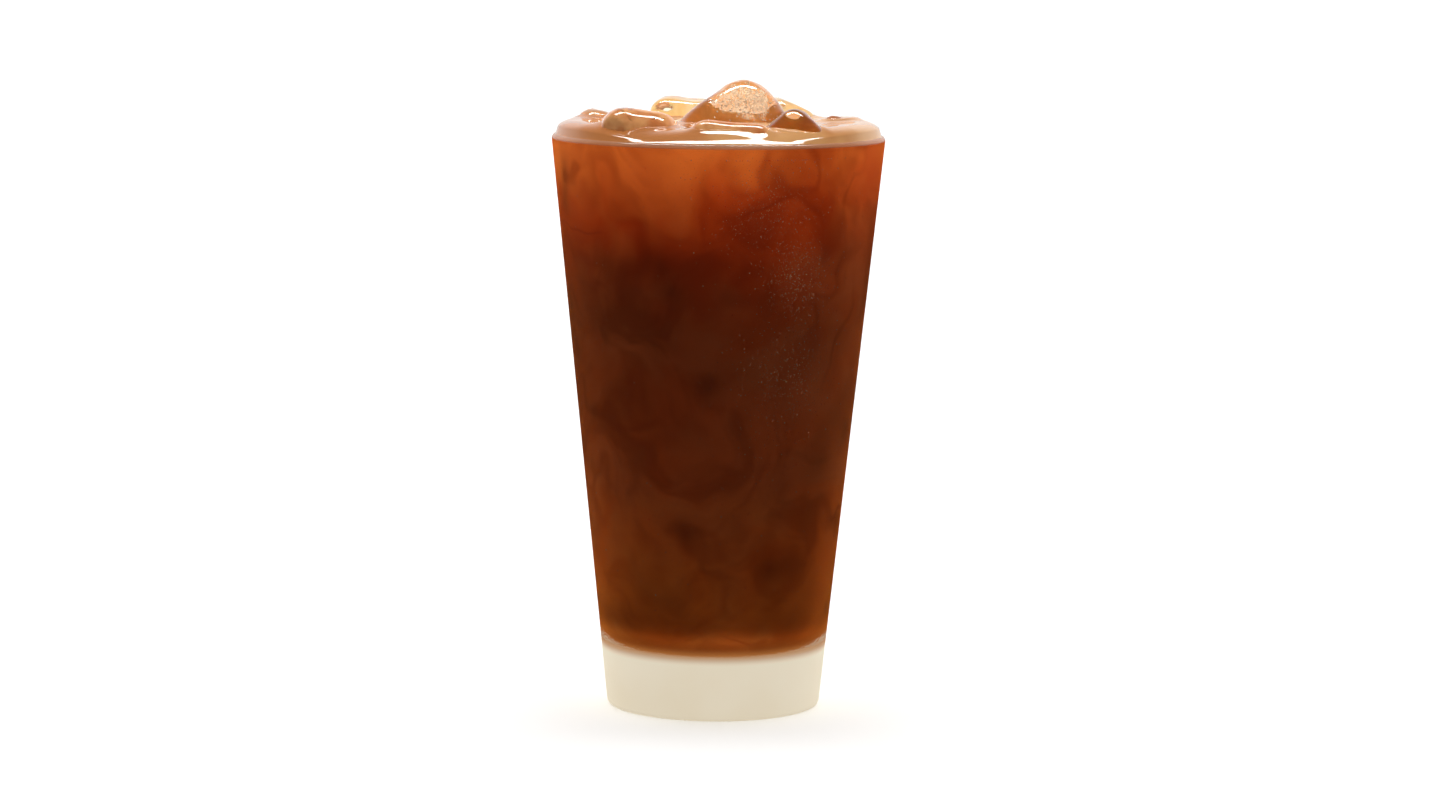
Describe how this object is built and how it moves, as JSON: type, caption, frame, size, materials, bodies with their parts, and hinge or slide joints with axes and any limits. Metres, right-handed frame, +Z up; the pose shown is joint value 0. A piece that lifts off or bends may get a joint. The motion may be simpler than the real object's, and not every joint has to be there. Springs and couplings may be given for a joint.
{
  "type": "iced coffee in glass",
  "caption": "Tall conical tumbler filled past the brim with milky iced coffee, melting ice standing out of the top.",
  "frame": {"origin": "on the table, under the middle of the glass's foot", "axes": "+Z up along the glass's axis; the view the ice is arranged for looks along +Y, with +X to its right"},
  "size_m": [0.0866, 0.0866, 0.1639],
  "materials": {
    "glass": "clear soda glass, misted outside with condensation",
    "coffee": "cloudy brown coffee with swirls of milk, wet and glossy on top",
    "ice": "wet melting ice, clear at the edges and frosty inside"
  },
  "bodies": {
    "root": {"glass": "glass", "coffee": "coffee", "ice_peak": "ice", "ice_left": "ice", "ice_left_front": "ice", "ice_rear": "ice", "ice_right_front": "ice", "ice_right_rear": "ice", "ice_right": "ice", "ice_ledge": "ice"}
  },
  "joints": []
}
